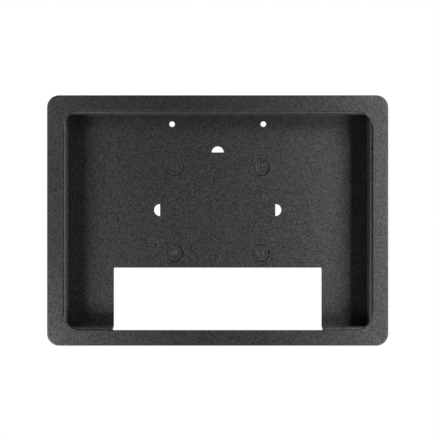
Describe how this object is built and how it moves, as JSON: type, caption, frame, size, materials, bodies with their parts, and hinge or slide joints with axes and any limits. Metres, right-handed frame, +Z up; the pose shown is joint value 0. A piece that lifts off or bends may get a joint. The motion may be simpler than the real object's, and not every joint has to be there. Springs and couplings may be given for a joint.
{
  "type": "tablet wall mount",
  "caption": "Flush housing for a wall-mounted tablet: a black folded steel box with a flat rim plate, threaded bosses in its back, screw holes and a cable window.",
  "frame": {"origin": "centre of the boss pattern, in the plane of the bosses' rear faces, where the bracket plate seats", "axes": "+X to the viewer's right along the width, +Y backwards into the wall, +Z up; the open front faces -Y"},
  "size_m": [0.295, 0.0335, 0.2165],
  "materials": {
    "powder_coat": "fine-textured black powder coat, satin",
    "boss_coat": "turned steel under black powder coat, satin"
  },
  "bodies": {
    "root": {"housing": "powder_coat", "boss_upper_left": "boss_coat", "boss_upper_right": "boss_coat", "boss_lower_left": "boss_coat", "boss_lower_right": "boss_coat"}
  },
  "joints": []
}
